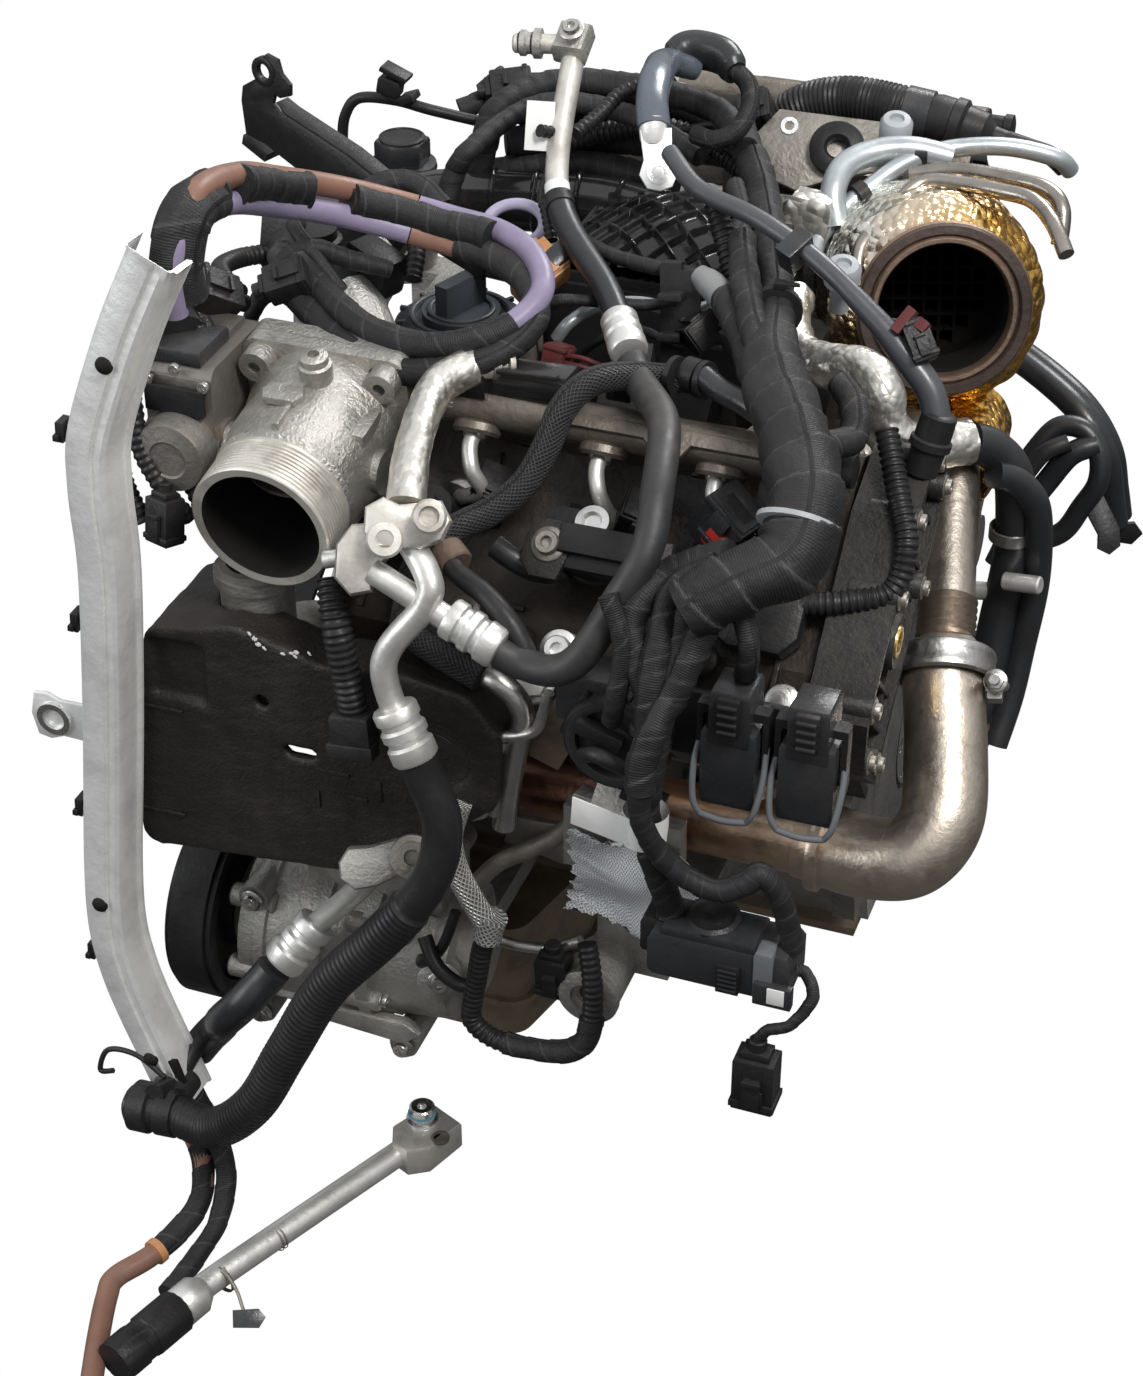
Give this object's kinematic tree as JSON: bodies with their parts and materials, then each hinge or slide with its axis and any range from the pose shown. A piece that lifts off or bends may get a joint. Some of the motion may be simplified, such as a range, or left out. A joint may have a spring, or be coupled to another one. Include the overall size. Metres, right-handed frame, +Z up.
{
  "type": "car engine",
  "caption": "Dressed V-shaped car diesel engine with belt drive, intake, exhaust converter, lines and wiring harness, removed from a car.",
  "frame": {"origin": "on the crankshaft axis at the face that meets the gearbox", "axes": "+X along the crankshaft towards the gearbox, +Y away from the side with the air conditioning lines, +Z up"},
  "size_m": [0.5335, 0.8577, 0.6528],
  "materials": {
    "cast_grey": "rough dusty casting",
    "cast_alloy": "sand cast, stained",
    "throttle_alloy": "cast, machined spigot",
    "pan_steel": "tan, worn",
    "cover_brown": "brown-black, dusty",
    "black_plastic": "moulded, dusty",
    "cap_grey": "moulded",
    "gloss_black": "glossy",
    "foam": "dusty foam",
    "rail_steel": "dull, stained",
    "satin_steel": "satin",
    "heat_steel": "heat tinted",
    "foil": "embossed foil, heat tinted",
    "brick": "ceramic honeycomb",
    "rubber_black": "satin",
    "pipe_alloy": "bright pipe",
    "bright_alloy": "pressed, scratched",
    "black_steel": "satin black",
    "grey_steel": "grey, dusty",
    "tape": "cloth tape",
    "cable_brown": "satin",
    "glass_cloth": "woven, torn"
  },
  "bodies": {
    "engine": {"cylinder_block": "cast_grey", "upper_sump": "cast_alloy", "oil_pan": "pan_steel", "head_left": "cast_alloy", "head_right": "cast_alloy", "rocker_cover_left": "cover_brown", "rocker_cover_right": "cover_brown", "front_cover": "cast_alloy", "chain_cover": "black_plastic", "intake_manifold": "black_plastic", "intake_duct": "gloss_black", "intake_elbow": "throttle_alloy", "throttle_body": "throttle_alloy", "throttle_actuator": "black_plastic", "fuel_rails": "rail_steel", "injectors": "black_plastic", "injector_pipes": "satin_steel", "exhaust_manifold": "heat_steel", "exhaust_elbow": "heat_steel", "v_band_clamp": "satin_steel", "riser_pipe": "heat_steel", "turbocharger": "cast_alloy", "catalytic_converter": "foil", "catalyst_brick": "brick", "foam_cover": "foam", "coolant_stub": "cast_alloy", "accessory_belt": "rubber_black", "ac_compressor": "cast_alloy", "alternator": "cast_alloy", "oil_filter_housing": "black_plastic", "cable_channel": "bright_alloy", "support_arm": "black_steel", "coolant_hoses": "rubber_black", "rear_bracket": "grey_steel", "rear_pipes": "satin_steel", "foil_pipe": "foil", "ac_line_upper": "pipe_alloy", "ac_lines_lower": "pipe_alloy", "ac_hoses": "rubber_black", "wiring_harness": "tape", "battery_cables": "tape", "harness_connectors": "black_plastic", "hanging_plug": "black_plastic", "hanging_lead": "tape", "glass_mat": "glass_cloth", "engine_mount": "cast_alloy", "drier_pipe": "pipe_alloy", "floor_cable_brown": "cable_brown", "floor_cable_taped": "tape"},
    "crank": {"crankshaft": "satin_steel", "crank_pulley": "black_steel"},
    "compressor_pulley_body": {"compressor_pulley": "black_steel"},
    "tensioner_pulley_body": {"tensioner_pulley": "black_steel"},
    "alternator_pulley_body": {"alternator_pulley": "grey_steel"},
    "flap": {"throttle_flap": "satin_steel"},
    "filter_cap_body": {"filter_cap": "cap_grey"},
    "filler_cap_body": {"filler_cap": "black_plastic"},
    "lever_front": {"connector_lever_front": "black_plastic"},
    "lever_rear": {"connector_lever_rear": "black_plastic"}
  },
  "joints": [
    {"name": "crank_spin", "type": "hinge", "parent": "engine", "child": "crank", "pos_m": [0, 0, 0], "axis": [1, 0, 0], "continuous": true},
    {"name": "compressor_spin", "type": "hinge", "parent": "engine", "child": "compressor_pulley_body", "pos_m": [-0.356, -0.27, -0.04], "axis": [1, 0, 0], "continuous": true},
    {"name": "tensioner_spin", "type": "hinge", "parent": "engine", "child": "tensioner_pulley_body", "pos_m": [-0.356, -0.07, 0.118], "axis": [1, 0, 0], "continuous": true},
    {"name": "alternator_spin", "type": "hinge", "parent": "engine", "child": "alternator_pulley_body", "pos_m": [-0.356, 0.215, -0.012], "axis": [1, 0, 0], "continuous": true},
    {"name": "throttle_turn", "type": "hinge", "parent": "engine", "child": "flap", "pos_m": [-0.283, -0.27648, 0.28243], "axis": [1, 0, 0], "range_deg": [0, 85], "stiffness_Nm_per_rad": 0.02},
    {"name": "filter_cap_turn", "type": "hinge", "parent": "engine", "child": "filter_cap_body", "pos_m": [-0.268, -0.095, 0.2683], "axis": [0, 0, 1], "range_deg": [0, 360]},
    {"name": "filler_cap_turn", "type": "hinge", "parent": "engine", "child": "filler_cap_body", "pos_m": [-0.362, 0.042, 0.3003], "axis": [0, 0, 1], "range_deg": [0, 90]},
    {"name": "front_lever_turn", "type": "hinge", "parent": "engine", "child": "lever_front", "pos_m": [-0.021, -0.351, 0.202], "axis": [1, 0, 0], "range_deg": [0, 80]},
    {"name": "rear_lever_turn", "type": "hinge", "parent": "engine", "child": "lever_rear", "pos_m": [0.019, -0.351, 0.202], "axis": [1, 0, 0], "range_deg": [0, 80]}
  ],
  "couplings": [
    {"joint": "compressor_spin", "follows": "crank_spin", "ratio": 1.3448},
    {"joint": "tensioner_spin", "follows": "crank_spin", "ratio": 2.2941},
    {"joint": "alternator_spin", "follows": "crank_spin", "ratio": 2.6897}
  ]
}
